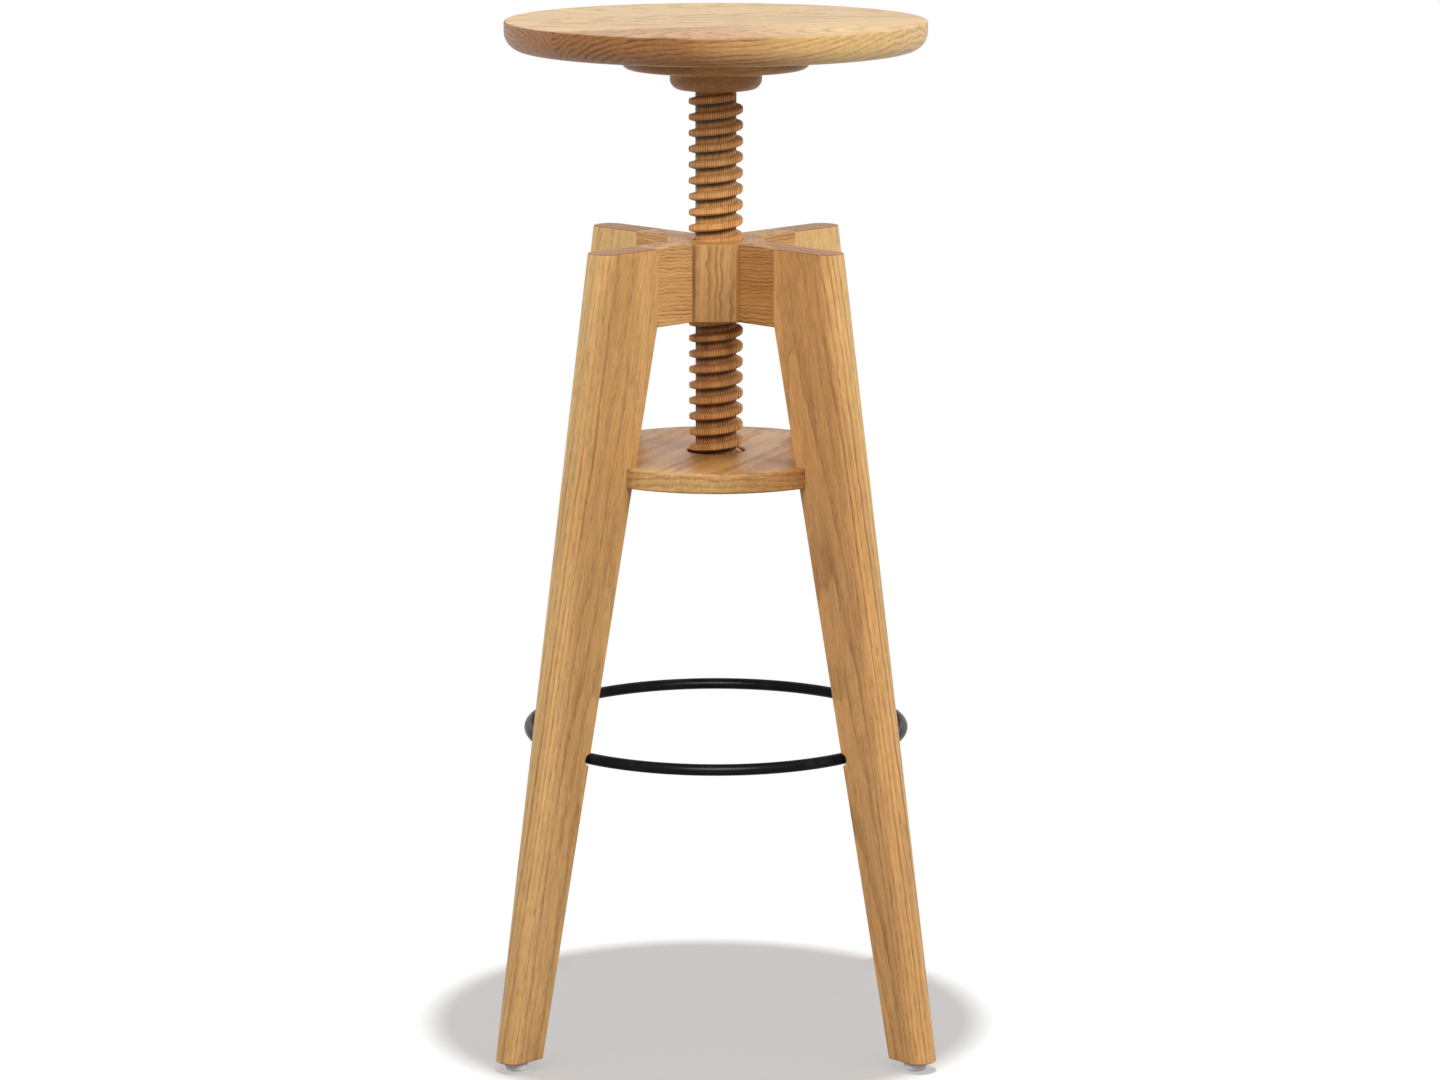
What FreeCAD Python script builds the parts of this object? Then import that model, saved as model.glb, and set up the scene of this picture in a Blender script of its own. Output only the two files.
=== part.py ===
import FreeCAD, Part
import math
import os
import Sketcher

# Screw-height counter stool in oak. Millimetres, +Z up, floor centre at the origin, front towards -Y.

doc = FreeCAD.newDocument("counter_stool")

# Driving dimensions
DIMENSIONS = [
    ("seat_diameter", 318, "round seat"),
    ("seat_top", 772, "seat height above the floor as modelled"),
    ("seat_thickness", 22, "seat board"),
    ("seat_under_round", 14, "rounding under the seat edge"),
    ("seat_top_round", 1.5, "eased upper seat edge"),
    ("seat_grain_angle", 22, "direction of the seat staves, from +X"),
    ("stave_width", 106, "one of the three seat staves"),
    ("plate_diameter", 143, "disc under the seat"),
    ("plate_thickness", 14.5, "disc under the seat"),
    ("plate_round", 7, "rounded lower edge of the disc"),
    ("collar_diameter", 69.5, "ring below the disc"),
    ("collar_height", 15.5, "ring below the disc"),
    ("collar_round", 8, "rounded lower edge of the ring"),
    ("thread_diameter", 41, "wooden screw over the crests"),
    ("core_diameter", 31, "wooden screw at the root"),
    ("thread_pitch", 12, "rise per turn, right hand, one start"),
    ("crest_width", 4.2, "crest of the thread before it is eased"),
    ("crest_ease", 0.7, "eased corners of the crest"),
    ("ridge_width", 7, "thread ridge where it meets the core"),
    ("thread_clearance", 0.55, "gap between screw and hub thread"),
    ("thread_start", 441, "middle of the lowest ridge on the +X side"),
    ("thread_length", 274.5, "height that the thread climbs"),
    ("post_bottom", 424.3, "lower end of the screw"),
    ("tenon_depth", 8.5, "screw end let into the disc"),
    ("joint_gap", 0.1, "glue gap round tenons, dowels and housings"),
    ("frame_top", 607, "top of hub, arms and legs"),
    ("arm_height", 59, "height of hub and arms"),
    ("hub_apothem", 37, "hub axis to a facet"),
    ("leg_thickness", 25, "legs and arms"),
    ("leg_inner_top", 73.5, "hub axis to the joint of arm and leg"),
    ("leg_inner_foot", 195.5, "inner edge of the leg at the foot"),
    ("leg_outer_top", 127.9, "outer edge of the leg at the top"),
    ("leg_outer_foot", 227.4, "outer edge of the leg at the foot"),
    ("leg_round", 11, "rounding of the outer leg edges"),
    ("leg_ease", 1.2, "easing of the other leg and arm edges"),
    ("dowel_diameter", 10, "dowels through the arms"),
    ("dowel_length", 66, "dowels through the arms"),
    ("dowel_spacing", 32, "between the two dowels of an arm"),
    ("dowel_in_hub", 12, "dowel depth in the hub"),
    ("shelf_diameter", 214, "round shelf that guides the screw"),
    ("shelf_thickness", 15, "shelf board"),
    ("shelf_top", 445, "upper face of the shelf"),
    ("shelf_hole", 44, "hole for the screw"),
    ("shelf_ease", 1.5, "eased shelf edges"),
    ("ring_diameter", 287, "foot ring, rod centre to rod centre"),
    ("rod_diameter", 8.7, "steel rod of the foot ring"),
    ("ring_height", 229, "foot ring centre above the floor"),
    ("ring_gap", 0.2, "gap between rod and leg notch"),
    ("notch_spare", 3, "free depth of the notch behind the rod"),
    ("glide_diameter", 16.5, "plastic glide"),
    ("glide_height", 7, "plastic glide"),
    ("glide_round", 1.5, "rounded lower edge of the glide"),
    ("glide_radius", 211.4, "hub axis to a glide"),
    ("nail_diameter", 2.4, "nail shank"),
    ("nail_length", 21, "nail shank"),
    ("nail_head", 6.6, "nail head diameter"),
    ("nail_head_height", 1.5, "nail head"),
    ("nail_recess", 3, "depth of the head in the glide"),
    ("nail_gap", 0.2, "gap round nails, screws and bolt"),
    ("plate_screw_radius", 59, "hub axis to a seat screw"),
    ("plate_screw_diameter", 3.6, "seat screw shank"),
    ("plate_screw_head", 8, "seat screw head"),
    ("plate_screw_length", 27, "seat screw overall"),
    ("post_screw_diameter", 6, "screw that holds the disc to the post"),
    ("post_screw_head", 12, "its head"),
    ("post_screw_length", 42, "its length overall"),
    ("washer_diameter", 56, "stop washer"),
    ("washer_thickness", 4, "stop washer"),
    ("washer_play", 0.35, "play above and below the stop washer"),
    ("bolt_diameter", 8, "stop bolt shank"),
    ("bolt_length", 44, "stop bolt shank"),
    ("bolt_head", 16, "stop bolt head"),
    ("bolt_head_height", 5, "stop bolt head"),
    ("bolt_socket", 5, "hexagon socket across flats"),
    ("bolt_socket_depth", 3, "hexagon socket"),
]
sheet = doc.addObject("Spreadsheet::Sheet", "sheet")
for row, (alias, value, meaning) in enumerate(DIMENSIONS, start=1):
    sheet.set(f"A{row}", meaning)
    sheet.set(f"B{row}", str(value))
    sheet.setAlias(f"B{row}", alias)
doc.recompute()

# Heights that several pieces share, as expressions on the sheet
SEAT_BOTTOM = "sheet.seat_top - sheet.seat_thickness"
PLATE_BOTTOM = f"{SEAT_BOTTOM} - sheet.plate_thickness"
COLLAR_BOTTOM = f"{PLATE_BOTTOM} - sheet.collar_height"
TENON_TOP = f"{PLATE_BOTTOM} + sheet.tenon_depth"
ARM_BOTTOM = "sheet.frame_top - sheet.arm_height"
ARM_MIDDLE = "sheet.frame_top - sheet.arm_height / 2"
SHELF_BOTTOM = "sheet.shelf_top - sheet.shelf_thickness"
WASHER_BOTTOM = "sheet.post_bottom - sheet.washer_play - sheet.washer_thickness"
BOLT_HEAD_TOP = f"{WASHER_BOTTOM} - sheet.washer_play"
DOWEL_HOLE = "sheet.dowel_diameter + 2 * sheet.joint_gap"
DOWEL_START = "sheet.hub_apothem - sheet.dowel_in_hub"

# Azimuth of each corner of the stool, from +X, and its name
CORNERS = {"front_right": -45, "back_right": 45, "back_left": 135, "front_left": 225}

# Pocket type that cuts right through
THROUGH_ALL = 1

# Lengths closer than this are the same, and a feature that changes less volume than this has failed
SAME_LENGTH = 1e-3
LEAST_VOLUME = 1e-3

nodes = []


def size(expression):
    """The number that an expression on the sheet gives."""
    result = sheet.evalExpression(expression)
    return float(getattr(result, "Value", result))


def turned(azimuth):
    """A placement turned about the stool's axis."""
    return FreeCAD.Placement(FreeCAD.Vector(), FreeCAD.Rotation(FreeCAD.Vector(0, 0, 1), azimuth))


def new_body(label, azimuth=0):
    body = doc.addObject("PartDesign::Body", label)
    body.Label = label
    body.Placement = turned(azimuth)
    nodes.append(body)
    return body


def sketch_on(body, role, offset="0"):
    """A sketch on one of the body's own planes, moved along that plane's normal."""
    sketch = body.newObject("Sketcher::SketchObject", f"{body.Label}_sketch")
    plane = next(p for p in body.Origin.OriginFeatures if p.Role == role)
    sketch.AttachmentSupport = [(plane, "")]
    sketch.MapMode = "FlatFace"
    sketch.setExpression("AttachmentOffset.Base.z", offset)
    return sketch


def hold(sketch, kind, axis, geometry, point, expression):
    """Hold one coordinate of a sketch point at an expression, or on the axis where it is nought."""
    value = size(expression)
    if abs(value) < SAME_LENGTH:
        sketch.addConstraint(Sketcher.Constraint("PointOnObject", geometry, point, axis))
        return
    ends = (-1, 1, geometry, point) if value > 0 else (geometry, point, -1, 1)
    index = sketch.addConstraint(Sketcher.Constraint(kind, *ends, abs(value)))
    sketch.setExpression(f"Constraints[{index}]", expression if value > 0 else f"-({expression})")


def place_point(sketch, geometry, point, x, y):
    hold(sketch, "DistanceX", -2, geometry, point, x)
    hold(sketch, "DistanceY", -1, geometry, point, y)


def join_ends(sketch, geometry, follower):
    """Join the end of one sketch curve to the start of the next."""
    sketch.addConstraint(Sketcher.Constraint("Coincident", geometry, 2, follower, 1))


def polygon(sketch, corners):
    """A closed outline of straight lines through corners given as pairs of expressions."""
    points = [FreeCAD.Vector(size(x), size(y), 0) for x, y in corners]
    first = sketch.GeometryCount
    count = len(points)
    for i, point in enumerate(points):
        sketch.addGeometry(Part.LineSegment(point, points[(i + 1) % count]))
    for i, (x, y) in enumerate(corners):
        join_ends(sketch, first + i, first + (i + 1) % count)
        place_point(sketch, first + i, 1, x, y)


def rectangle(sketch, low_x, low_y, high_x, high_y):
    polygon(sketch, [(low_x, low_y), (high_x, low_y), (high_x, high_y), (low_x, high_y)])


def circle(sketch, diameter, x="0", y="0"):
    centre = FreeCAD.Vector(size(x), size(y), 0)
    index = sketch.addGeometry(Part.Circle(centre, FreeCAD.Vector(0, 0, 1), size(diameter) / 2))
    place_point(sketch, index, 3, x, y)
    set_diameter(sketch, index, diameter)


def set_diameter(sketch, geometry, diameter):
    row = sketch.addConstraint(Sketcher.Constraint("Diameter", geometry, size(diameter)))
    sketch.setExpression(f"Constraints[{row}]", diameter)


def open_slot(sketch, width, mouth_x, end_x, middle_y):
    """A slot with a square mouth and a round end, whose centre is at end_x."""
    low_y = f"{middle_y} - ({width}) / 2"
    high_y = f"{middle_y} + ({width}) / 2"
    centre = FreeCAD.Vector(size(end_x), size(middle_y), 0)
    low_mouth = FreeCAD.Vector(size(mouth_x), size(low_y), 0)
    low_end = FreeCAD.Vector(size(end_x), size(low_y), 0)
    high_end = FreeCAD.Vector(size(end_x), size(high_y), 0)
    high_mouth = FreeCAD.Vector(size(mouth_x), size(high_y), 0)
    round_end = Part.Circle(centre, FreeCAD.Vector(0, 0, 1), size(width) / 2)
    floor = sketch.addGeometry(Part.LineSegment(low_mouth, low_end))
    bend = sketch.addGeometry(Part.ArcOfCircle(round_end, -math.pi / 2, math.pi / 2))
    roof = sketch.addGeometry(Part.LineSegment(high_end, high_mouth))
    mouth = sketch.addGeometry(Part.LineSegment(high_mouth, low_mouth))
    for geometry, follower in ((floor, bend), (bend, roof), (roof, mouth), (mouth, floor)):
        join_ends(sketch, geometry, follower)
    place_point(sketch, bend, 3, end_x, middle_y)
    set_diameter(sketch, bend, width)
    place_point(sketch, floor, 1, mouth_x, low_y)
    place_point(sketch, mouth, 1, mouth_x, high_y)
    for point in (1, 2):
        hold(sketch, "DistanceX", -2, bend, point, end_x)


def feature(body, kind, sketch, **bound):
    """A sketch-based feature with its bound sizes, which has to change the body's volume."""
    before = body.Tip.Shape.Volume if body.Tip else 0
    made = body.newObject(f"PartDesign::{kind}", f"{body.Label}_{kind}")
    made.Profile = sketch
    sketch.Visibility = False
    for name, value in bound.items():
        if isinstance(value, str):
            made.setExpression(name, value)
        else:
            setattr(made, name, value)
    doc.recompute()
    change = made.Shape.Volume - before
    adds = kind in ("Pad", "Revolution", "AdditiveHelix")
    if (change > 0) != adds or abs(change) < LEAST_VOLUME:
        raise RuntimeError(f"{body.Label}: {kind} changes the volume by {change:.3f}")
    return made


def pad(body, sketch, length, **more):
    return feature(body, "Pad", sketch, Length=length, **more)


def pocket(body, sketch, length, **more):
    return feature(body, "Pocket", sketch, Length=length, **more)


def bore(body, sketch, **more):
    return feature(body, "Pocket", sketch, Type=THROUGH_ALL, **more)


def groove(body, sketch):
    return feature(body, "Groove", sketch, ReferenceAxis=(sketch, ["V_Axis"]), Angle=360)


def dress(body, kind, size_name, expression, chosen):
    """A fillet or chamfer on the edges of the body's tip for which chosen(edge) holds."""
    tip = body.Tip
    edges = [f"Edge{i}" for i, edge in enumerate(tip.Shape.Edges, start=1) if chosen(edge)]
    if not edges:
        raise RuntimeError(f"{body.Label}: no edge for {kind}")
    made = body.newObject(f"PartDesign::{kind}", f"{body.Label}_{kind}")
    made.Base = (tip, edges)
    made.setExpression(size_name, expression)
    doc.recompute()
    return made


def fillet(body, radius, chosen):
    return dress(body, "Fillet", "Radius", radius, chosen)


def chamfer(body, width, chosen):
    return dress(body, "Chamfer", "Size", width, chosen)


def same(length, other):
    return abs(length - other) < SAME_LENGTH


def at_height(edge, expression):
    height = size(expression)
    return all(same(vertex.Z, height) for vertex in edge.Vertexes)


def rim(expression, diameter):
    """Chooses the circular edges of one diameter at one height."""

    def chosen(edge):
        if not isinstance(edge.Curve, Part.Circle):
            return False
        return at_height(edge, expression) and same(2 * edge.Curve.Radius, size(diameter))

    return chosen


def group(label, members):
    """Separate equal solids that share one node."""
    made = doc.addObject("Part::Compound", label)
    made.Label = label
    made.Links = members
    nodes.append(made)
    return made


def solid(kind, name, **bound):
    """A Part primitive with its sizes bound to the sheet."""
    made = doc.addObject(f"Part::{kind}", name)
    for prop, expression in bound.items():
        made.setExpression(prop, expression)
    return made


def fused(name, base, tool):
    made = doc.addObject("Part::Fuse", name)
    made.Base = base
    made.Tool = tool
    return made


def moved(x, y, z, azimuth=0):
    """A placement at a point that is then turned about the stool's axis."""
    return turned(azimuth).multiply(FreeCAD.Placement(FreeCAD.Vector(x, y, z), FreeCAD.Rotation()))


# Seat: a disc of three edge-glued staves, cut from one turned form
def seat_stave(label, cuts, screw_places):
    body = new_body(label, size("sheet.seat_grain_angle"))
    disc = sketch_on(body, "XY_Plane", SEAT_BOTTOM)
    circle(disc, "sheet.seat_diameter")
    pad(body, disc, "sheet.seat_thickness")
    fillet(body, "sheet.seat_under_round", rim(SEAT_BOTTOM, "sheet.seat_diameter"))
    fillet(body, "sheet.seat_top_round", rim("sheet.seat_top", "sheet.seat_diameter"))
    waste = sketch_on(body, "XY_Plane")
    for low, high in cuts:
        rectangle(waste, "-sheet.seat_diameter", low, "sheet.seat_diameter", high)
    bore(body, waste, Reversed=True)
    pilots = sketch_on(body, "XY_Plane", SEAT_BOTTOM)
    for x, y in screw_places:
        circle(pilots, "sheet.plate_screw_diameter + sheet.nail_gap", x, y)
    depth = "sheet.plate_screw_length - sheet.plate_thickness + sheet.nail_gap"
    pocket(body, pilots, depth, Reversed=True)


SEAM = "sheet.stave_width / 2"
BEHIND = (SEAM, "sheet.seat_diameter")
BEFORE = ("-sheet.seat_diameter", f"-{SEAM}")
SCREW_OUT = "sheet.plate_screw_radius"
seat_stave("seat_stave_front", [(f"-{SEAM}", "sheet.seat_diameter")], [("0", f"-{SCREW_OUT}")])
seat_stave("seat_stave_middle", [BEFORE, BEHIND], [(SCREW_OUT, "0"), (f"-{SCREW_OUT}", "0")])
seat_stave("seat_stave_back", [("-sheet.seat_diameter", SEAM)], [("0", SCREW_OUT)])


# Disc under the seat, with a blind hole for the tenon and countersunk holes for the seat screws
def seat_plate():
    body = new_body("seat_plate", size("sheet.seat_grain_angle"))
    disc = sketch_on(body, "XY_Plane", PLATE_BOTTOM)
    circle(disc, "sheet.plate_diameter")
    pad(body, disc, "sheet.plate_thickness")
    fillet(body, "sheet.plate_round", rim(PLATE_BOTTOM, "sheet.plate_diameter"))
    socket = sketch_on(body, "XY_Plane", PLATE_BOTTOM)
    circle(socket, "sheet.core_diameter + 2 * sheet.joint_gap")
    pocket(body, socket, "sheet.tenon_depth + sheet.joint_gap", Reversed=True)
    post_hole = "sheet.post_screw_diameter + 2 * sheet.nail_gap"
    seat_hole = "sheet.plate_screw_diameter + 2 * sheet.nail_gap"
    holes = sketch_on(body, "XY_Plane")
    circle(holes, post_hole)
    for x, y in ((SCREW_OUT, "0"), ("0", SCREW_OUT), (f"-{SCREW_OUT}", "0"), ("0", f"-{SCREW_OUT}")):
        circle(holes, seat_hole, x, y)
    bore(body, holes, Reversed=True)
    seat_sink = "(sheet.plate_screw_head - sheet.plate_screw_diameter) / 2"
    post_sink = "(sheet.post_screw_head - sheet.post_screw_diameter) / 2"
    chamfer(body, seat_sink, rim(PLATE_BOTTOM, seat_hole))
    chamfer(body, post_sink, rim(SEAT_BOTTOM, post_hole))


seat_plate()


# Ring below the disc, glued round the top of the screw
def seat_collar():
    body = new_body("seat_collar")
    ring = sketch_on(body, "XY_Plane", COLLAR_BOTTOM)
    circle(ring, "sheet.collar_diameter")
    circle(ring, "sheet.core_diameter + 2 * sheet.joint_gap")
    pad(body, ring, "sheet.collar_height")
    fillet(body, "sheet.collar_round", rim(COLLAR_BOTTOM, "sheet.collar_diameter"))


seat_collar()


def ridge_half_width(radius, gap):
    """Half the height of the thread ridge at a radius, grown by a gap on each flank."""
    taper = "(sheet.ridge_width - sheet.crest_width) / (sheet.thread_diameter - sheet.core_diameter)"
    return f"(sheet.crest_width / 2 + {taper} * (sheet.thread_diameter / 2 - ({radius})) + {gap})"


def thread_profile(sketch, inner, outer, gap, middle, ease=None):
    """The outline of the thread ridge from an inner to an outer radius, with eased crest corners if asked."""
    crest = ridge_half_width(outer, gap)
    half = [(inner, ridge_half_width(inner, gap)), (outer, crest)]
    if ease:
        shoulder = f"({outer} - {ease})"
        half[1:] = [(shoulder, ridge_half_width(shoulder, gap)), (outer, f"({crest} - {ease})")]
    lower = [(radius, f"{middle} - {width}") for radius, width in half]
    upper = [(radius, f"{middle} + {width}") for radius, width in reversed(half)]
    polygon(sketch, lower + upper)


def helix(body, kind, profile, height):
    """Sweep a thread profile up the axis; mode 0 takes the pitch and the height."""
    axis = (profile, ["V_Axis"])
    pitch = "sheet.thread_pitch"
    return feature(body, kind, profile, ReferenceAxis=axis, Mode=0, Pitch=pitch, Height=height)


# Wooden screw: a turned core with the thread swept round it
def screw_post():
    body = new_body("screw_post")
    core = sketch_on(body, "XY_Plane", "sheet.post_bottom")
    circle(core, "sheet.core_diameter")
    pad(body, core, f"{TENON_TOP} - sheet.post_bottom")
    bolt_hole = sketch_on(body, "XY_Plane", "sheet.post_bottom")
    circle(bolt_hole, "sheet.bolt_diameter + 2 * sheet.nail_gap")
    pocket(body, bolt_hole, "sheet.bolt_length", Reversed=True)
    screw_hole = sketch_on(body, "XY_Plane", TENON_TOP)
    circle(screw_hole, "sheet.post_screw_diameter + 2 * sheet.nail_gap")
    pocket(body, screw_hole, "sheet.post_screw_length")
    ridge = sketch_on(body, "XZ_Plane")
    inside = "sheet.core_diameter / 2 - sheet.thread_clearance"
    crest = "sheet.thread_diameter / 2"
    thread_profile(ridge, inside, crest, "0", "sheet.thread_start", "sheet.crest_ease")
    helix(body, "AdditiveHelix", ridge, "sheet.thread_length")


screw_post()


# Octagonal hub: the nut of the screw, with dowel holes in the four facets that carry the arms
def hub():
    body = new_body("hub", CORNERS["back_right"])
    facet = f"sheet.hub_apothem * {math.tan(math.pi / 8):.9f}"
    flat = "sheet.hub_apothem"
    half_outline = [(flat, f"-({facet})"), (flat, facet), (facet, flat), (f"-({facet})", flat)]
    other_half = [(f"-({x})", f"-({y})") for x, y in half_outline]
    outline = sketch_on(body, "XY_Plane", ARM_BOTTOM)
    polygon(outline, half_outline + other_half)
    pad(body, outline, "sheet.arm_height")
    fillet(body, "sheet.leg_ease", free_facet_edge)
    hole = sketch_on(body, "XY_Plane")
    circle(hole, "sheet.core_diameter + 2 * sheet.thread_clearance")
    bore(body, hole, Reversed=True)
    dowels = sketch_on(body, "YZ_Plane", flat)
    dowel_circles(dowels)
    holes = pocket(body, dowels, "sheet.dowel_in_hub + sheet.joint_gap")
    pattern = body.newObject("PartDesign::PolarPattern", "hub_dowel_pattern")
    pattern.Originals = [holes]
    pattern.Axis = (outline, ["N_Axis"])
    pattern.Angle = 360
    pattern.Occurrences = len(CORNERS)
    body.Tip = pattern
    doc.recompute()
    # The hub body is turned an eighth of a circle, so its thread starts an eighth of a pitch higher
    turn_rise = f"sheet.thread_pitch * {CORNERS['back_right']} / 360"
    turns_below = f"floor(({ARM_BOTTOM} - sheet.thread_start) / sheet.thread_pitch) - 1"
    start = f"(sheet.thread_start + {turn_rise} + sheet.thread_pitch * ({turns_below}))"
    cutter = sketch_on(body, "XZ_Plane")
    inside = "sheet.core_diameter / 2 - sheet.thread_clearance"
    outside = "sheet.thread_diameter / 2 + sheet.thread_clearance"
    thread_profile(cutter, inside, outside, "sheet.thread_clearance", start)
    helix(body, "SubtractiveHelix", cutter, "sheet.arm_height + 3 * sheet.thread_pitch")


def free_facet_edge(edge):
    """Chooses the upper and lower edges of the four facets between the arms."""
    box = edge.BoundBox
    level = box.ZLength < SAME_LENGTH
    return level and same(abs(box.Center.x), abs(box.Center.y))


def dowel_circles(sketch):
    """The two dowel holes of one arm, one above the other."""
    for side in ("-", "+"):
        circle(sketch, DOWEL_HOLE, "0", f"{ARM_MIDDLE} {side} sheet.dowel_spacing / 2")


hub()


# Arm: the short block between hub and leg, drilled right through for its dowels
def arm(corner, azimuth):
    body = new_body(f"arm_{corner}", azimuth)
    side = sketch_on(body, "XZ_Plane")
    rectangle(side, "sheet.hub_apothem", ARM_BOTTOM, "sheet.leg_inner_top", "sheet.frame_top")
    pad(body, side, "sheet.leg_thickness", Midplane=True)
    fillet(body, "sheet.leg_ease", lambda edge: edge.BoundBox.XLength > 1 and edge.BoundBox.ZLength < 1)
    dowels = sketch_on(body, "YZ_Plane")
    dowel_circles(dowels)
    bore(body, dowels, Reversed=True)


# Leg: a splayed, tapered plank, housed for the shelf and notched for the foot ring
def leg(corner, azimuth):
    body = new_body(f"leg_{corner}", azimuth)
    side = sketch_on(body, "XZ_Plane")
    polygon(
        side,
        [
            ("sheet.leg_inner_top", "sheet.frame_top"),
            ("sheet.leg_inner_top", ARM_BOTTOM),
            ("sheet.leg_inner_foot", "sheet.glide_height"),
            ("sheet.leg_outer_foot", "sheet.glide_height"),
            ("sheet.leg_outer_top", "sheet.frame_top"),
        ],
    )
    pad(body, side, "sheet.leg_thickness", Midplane=True)
    full_height = size("sheet.frame_top - sheet.glide_height")
    splay_height = size(f"{ARM_BOTTOM} - sheet.glide_height")
    joint = size("sheet.leg_inner_top")

    def outer_edge(edge):
        return same(edge.BoundBox.ZLength, full_height)

    def eased_edge(edge):
        box = edge.BoundBox
        inner_edge = same(box.ZLength, splay_height)
        foot_edge = at_height(edge, "sheet.glide_height")
        top_edge = at_height(edge, "sheet.frame_top") and box.XMax > joint + 1
        return inner_edge or foot_edge or top_edge

    fillet(body, "sheet.leg_round", outer_edge)
    fillet(body, "sheet.leg_ease", eased_edge)
    housing = sketch_on(body, "XZ_Plane")
    reach = "sheet.shelf_diameter / 2 + sheet.joint_gap"
    floor = f"{SHELF_BOTTOM} - sheet.joint_gap"
    roof = "sheet.shelf_top + sheet.joint_gap"
    rectangle(housing, "0", floor, reach, roof)
    groove(body, housing)
    notch = sketch_on(body, "XZ_Plane")
    ring_radius = "sheet.ring_diameter / 2"
    width = "sheet.rod_diameter + 2 * sheet.ring_gap"
    mouth = f"{ring_radius} - 2 * sheet.rod_diameter"
    open_slot(notch, width, mouth, f"{ring_radius} + sheet.notch_spare", "sheet.ring_height")
    groove(body, notch)
    dowels = sketch_on(body, "YZ_Plane", "sheet.leg_inner_top")
    dowel_circles(dowels)
    dowel_end = f"{DOWEL_START} + sheet.dowel_length"
    pocket(body, dowels, f"{dowel_end} - sheet.leg_inner_top + sheet.joint_gap", Reversed=True)
    nail = sketch_on(body, "XY_Plane", "sheet.glide_height")
    circle(nail, "sheet.nail_diameter + sheet.nail_gap", "sheet.glide_radius")
    pocket(body, nail, "sheet.nail_length", Reversed=True)


# Glide: plastic foot with a recess for its nail
def glide(corner, azimuth):
    body = new_body(f"glide_{corner}", azimuth)
    foot = sketch_on(body, "XY_Plane")
    circle(foot, "sheet.glide_diameter", "sheet.glide_radius")
    pad(body, foot, "sheet.glide_height")
    fillet(body, "sheet.glide_round", rim("0", "sheet.glide_diameter"))
    recess = sketch_on(body, "XY_Plane")
    circle(recess, "sheet.nail_head + 2 * sheet.nail_gap", "sheet.glide_radius")
    pocket(body, recess, "sheet.nail_recess", Reversed=True)
    hole = sketch_on(body, "XY_Plane")
    circle(hole, "sheet.nail_diameter + sheet.nail_gap", "sheet.glide_radius")
    bore(body, hole, Reversed=True)


for corner, azimuth in CORNERS.items():
    arm(corner, azimuth)
for corner, azimuth in CORNERS.items():
    leg(corner, azimuth)
for corner, azimuth in CORNERS.items():
    glide(corner, azimuth)


# Shelf: a disc whose rim sits in the legs and whose hole guides the screw
def shelf():
    body = new_body("shelf")
    disc = sketch_on(body, "XY_Plane", SHELF_BOTTOM)
    circle(disc, "sheet.shelf_diameter")
    circle(disc, "sheet.shelf_hole")
    pad(body, disc, "sheet.shelf_thickness")
    fillet(body, "sheet.shelf_ease", lambda edge: isinstance(edge.Curve, Part.Circle))


shelf()

# Foot ring: one closed steel rod that lies in the notches of the legs, with room behind it to slip it in
foot_ring = solid("Torus", "foot_ring", Radius1="sheet.ring_diameter / 2", Radius2="sheet.rod_diameter / 2")
foot_ring.Placement = moved(0, 0, size("sheet.ring_height"))
nodes.append(foot_ring)


# Stop washer: too wide for the shelf's hole, so the screw can't be wound out of the hub
def stop_washer():
    body = new_body("stop_washer")
    ring = sketch_on(body, "XY_Plane", WASHER_BOTTOM)
    circle(ring, "sheet.washer_diameter")
    circle(ring, "sheet.bolt_diameter + 4 * sheet.nail_gap")
    pad(body, ring, "sheet.washer_thickness")
    fillet(body, "sheet.washer_thickness / 4", rim(WASHER_BOTTOM, "sheet.washer_diameter"))


# Stop bolt: holds the washer loosely under the end of the screw
def stop_bolt():
    body = new_body("stop_bolt")
    bottom = f"{BOLT_HEAD_TOP} - sheet.bolt_head_height"
    head = sketch_on(body, "XY_Plane", bottom)
    circle(head, "sheet.bolt_head")
    pad(body, head, "sheet.bolt_head_height")
    fillet(body, "sheet.bolt_head_height / 3", rim(bottom, "sheet.bolt_head"))
    shank = sketch_on(body, "XY_Plane", BOLT_HEAD_TOP)
    circle(shank, "sheet.bolt_diameter")
    pad(body, shank, "sheet.bolt_length")
    socket = sketch_on(body, "XY_Plane", bottom)
    corner_radius = f"sheet.bolt_socket / {math.sqrt(3):.9f}"
    hexagon = []
    for i in range(6):
        turn = math.radians(60 * i)
        hexagon.append((f"{corner_radius} * {math.cos(turn):.9f}", f"{corner_radius} * {math.sin(turn):.9f}"))
    polygon(socket, hexagon)
    pocket(body, socket, "sheet.bolt_socket_depth", Reversed=True)


stop_washer()
stop_bolt()


# Dowels through the arms, two to each
def arm_dowels():
    members = []
    for corner, azimuth in CORNERS.items():
        for level in (-1, 1):
            dowel = solid("Cylinder", "dowel", Radius="sheet.dowel_diameter / 2", Height="sheet.dowel_length")
            middle = size(f"{ARM_MIDDLE} + {level} * sheet.dowel_spacing / 2")
            lying = FreeCAD.Rotation(FreeCAD.Vector(0, 1, 0), 90)
            start = FreeCAD.Vector(size(DOWEL_START), 0, middle)
            dowel.Placement = turned(azimuth).multiply(FreeCAD.Placement(start, lying))
            members.append(dowel)
    group("arm_dowels", members)


arm_dowels()


def countersunk(name):
    """A countersunk wood screw, sized by its name, that stands on its head at the origin and points up."""
    diameter = f"sheet.{name}_diameter"
    head = f"sheet.{name}_head"
    sink = f"({head} - {diameter}) / 2"
    cone = solid("Cone", f"{name}_cone", Radius1=f"{head} / 2", Radius2=f"{diameter} / 2", Height=sink)
    shank = solid("Cylinder", f"{name}_shank", Radius=f"{diameter} / 2", Height=f"sheet.{name}_length")
    return fused(name, cone, shank)


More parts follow.
